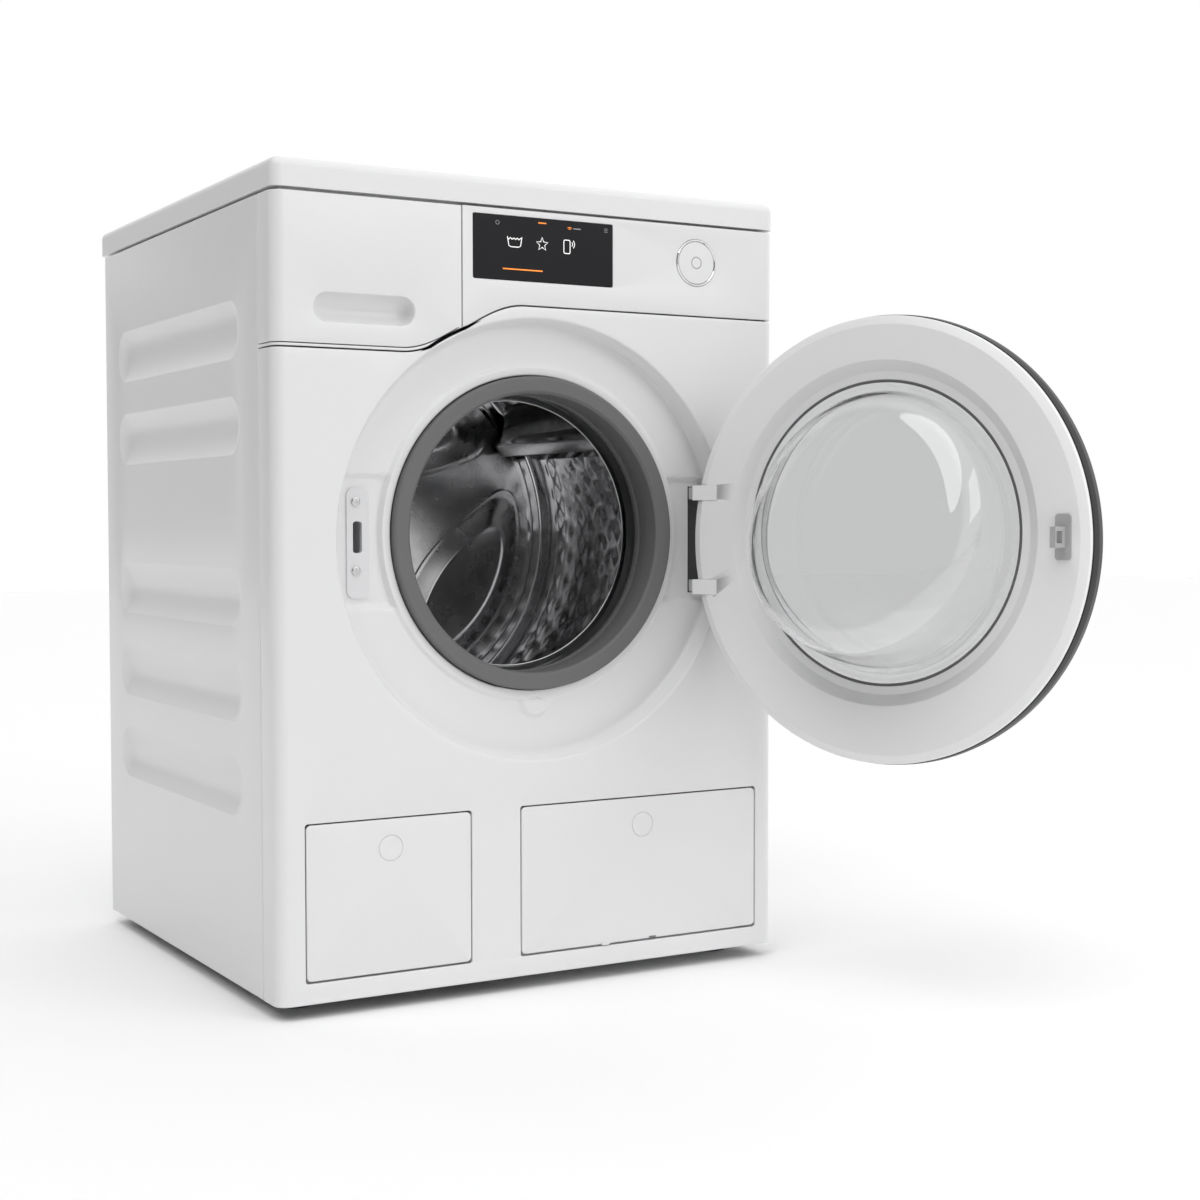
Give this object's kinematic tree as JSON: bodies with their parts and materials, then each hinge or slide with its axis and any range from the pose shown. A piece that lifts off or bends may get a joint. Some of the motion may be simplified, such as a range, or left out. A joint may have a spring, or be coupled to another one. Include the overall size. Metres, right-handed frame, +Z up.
{
  "type": "washing machine",
  "caption": "Front load washing machine with its round door open, detergent drawer, service flaps, hung tub with steel drum, belt drive, drain pump and levelling feet",
  "frame": {"origin": "on the floor, in the middle of the front left foot's sole", "axes": "+Z up, +Y from the front to the back, +X to the right as seen from the front"},
  "size_m": [0.6861, 1.0356, 0.85],
  "materials": {
    "white_steel": "satin",
    "white_plastic": "satin",
    "grey_plastic": "satin",
    "lock_plastic": "matt",
    "dark_plastic": "satin",
    "smoked_plastic": "clear, smoked",
    "display_glass": "gloss",
    "bright_chrome": "polished",
    "hinge_metal": "satin",
    "clear_glass": "clear",
    "grey_rubber": "matt",
    "drum_steel": "bright",
    "zinc_steel": "galvanised",
    "screw_steel": "satin",
    "tub_plastic": "matt",
    "concrete": "rough",
    "cast_aluminium": "cast",
    "motor_paint": "satin",
    "black_rubber": "matt",
    "hose_grey": "satin",
    "black_plastic": "matt",
    "pump_plastic": "matt",
    "tank_plastic": "satin"
  },
  "bodies": {
    "cabinet": {"side_panel_left": "white_steel", "side_panel_right": "white_steel", "rear_panel": "zinc_steel", "base_tray": "zinc_steel", "front_panel": "white_steel", "control_fascia": "white_plastic", "top_lid": "white_plastic", "display_window": "display_glass", "button_ring": "bright_chrome", "dispenser_housing": "grey_plastic", "dispenser_hose": "black_rubber", "inlet_hose": "black_rubber", "inlet_valve": "pump_plastic", "mains_inlet": "black_plastic", "door_gasket": "grey_rubber", "clamp_screw": "screw_steel", "door_lock": "lock_plastic", "hinge_bracket": "hinge_metal", "spring_left": "zinc_steel", "spring_right": "zinc_steel", "sump_hose": "black_rubber", "damper_cylinder_left": "black_plastic", "damper_cylinder_right": "black_plastic", "pump_housing": "pump_plastic", "drain_hose": "hose_grey", "dosing_housing": "tank_plastic", "cartridge_left": "tank_plastic", "cartridge_right": "tank_plastic"},
    "door": {"door_frame": "grey_plastic", "door_ring": "dark_plastic", "door_cover": "smoked_plastic", "door_glass": "clear_glass", "door_latch": "lock_plastic", "hinge_pin": "hinge_metal"},
    "drawer": {"drawer_front": "white_plastic", "drawer_tray": "grey_plastic"},
    "button": {"power_button": "white_plastic"},
    "bolt": {"lock_bolt": "lock_plastic"},
    "tub": {"tub_front": "tub_plastic", "tub_rear": "tub_plastic", "counterweight": "concrete", "motor": "motor_paint", "drive_belt": "black_rubber", "damper_rod_left": "zinc_steel", "damper_rod_right": "zinc_steel"},
    "drum": {"drum_shell": "drum_steel", "lifter_right": "drum_steel", "lifter_left": "drum_steel", "lifter_lower": "drum_steel", "drum_spider": "cast_aluminium", "drum_pulley": "cast_aluminium"},
    "motor_pulley": {"motor_pulley": "screw_steel"},
    "drain_filter": {"drain_filter": "pump_plastic"},
    "pump_impeller": {"pump_impeller": "black_plastic"},
    "flap_left": {"flap_left": "white_plastic"},
    "flap_right": {"flap_right": "white_plastic"},
    "foot_front_left": {"foot_front_left": "black_plastic"},
    "foot_rear_left": {"foot_rear_left": "black_plastic"},
    "foot_front_right": {"foot_front_right": "black_plastic"},
    "foot_rear_right": {"foot_rear_right": "black_plastic"}
  },
  "joints": [
    {"name": "door_hinge", "type": "hinge", "parent": "cabinet", "child": "door", "pos_m": [0.469, -0.0925, 0.4745], "axis": [0, 0, 1], "range_deg": [-111.8, 0]},
    {"name": "drawer_slide", "type": "slide", "parent": "cabinet", "child": "drawer", "axis": [0, -1, 0], "range_m": [0, 0.23]},
    {"name": "button_press", "type": "slide", "parent": "cabinet", "child": "button", "axis": [0, 1, 0], "range_m": [0, 0.002], "stiffness_N_per_m": 1500},
    {"name": "bolt_slide", "type": "slide", "parent": "cabinet", "child": "bolt", "axis": [-1, 0, 0], "range_m": [0, 0.014]},
    {"name": "tub_bounce", "type": "slide", "parent": "cabinet", "child": "tub", "axis": [0, 0, 1], "range_m": [-0.006, 0.004], "stiffness_N_per_m": 16000, "springref_m": 0.02014, "deforming": ["spring_left", "spring_right", "dispenser_hose", "sump_hose", "door_gasket"]},
    {"name": "drum_spin", "type": "hinge", "parent": "tub", "child": "drum", "pos_m": [0.255, 0.225, 0.482], "axis": [0, 1, 0], "continuous": true},
    {"name": "motor_spin", "type": "hinge", "parent": "tub", "child": "motor_pulley", "pos_m": [0.315, 0.225, 0.15], "axis": [0, 1, 0], "continuous": true},
    {"name": "filter_turn", "type": "hinge", "parent": "cabinet", "child": "drain_filter", "pos_m": [0.079, 0.225, 0.112], "axis": [0, 1, 0], "range_deg": [0, 180]},
    {"name": "impeller_spin", "type": "hinge", "parent": "cabinet", "child": "pump_impeller", "pos_m": [0.079, 0.225, 0.112], "axis": [0, 1, 0], "continuous": true},
    {"name": "flap_left_tip", "type": "hinge", "parent": "cabinet", "child": "flap_left", "pos_m": [0.07875, -0.0654, 0.041], "axis": [1, 0, 0], "range_deg": [0, 89]},
    {"name": "flap_right_tip", "type": "hinge", "parent": "cabinet", "child": "flap_right", "pos_m": [0.37775, -0.0654, 0.041], "axis": [1, 0, 0], "range_deg": [0, 89]},
    {"name": "foot_front_left_screw", "type": "slide", "parent": "cabinet", "child": "foot_front_left", "axis": [0, 0, -1], "range_m": [0, 0.012]},
    {"name": "foot_rear_left_screw", "type": "slide", "parent": "cabinet", "child": "foot_rear_left", "axis": [0, 0, -1], "range_m": [0, 0.012]},
    {"name": "foot_front_right_screw", "type": "slide", "parent": "cabinet", "child": "foot_front_right", "axis": [0, 0, -1], "range_m": [0, 0.012]},
    {"name": "foot_rear_right_screw", "type": "slide", "parent": "cabinet", "child": "foot_rear_right", "axis": [0, 0, -1], "range_m": [0, 0.012]}
  ],
  "couplings": [
    {"joint": "motor_spin", "follows": "drum_spin", "ratio": 12.727}
  ]
}
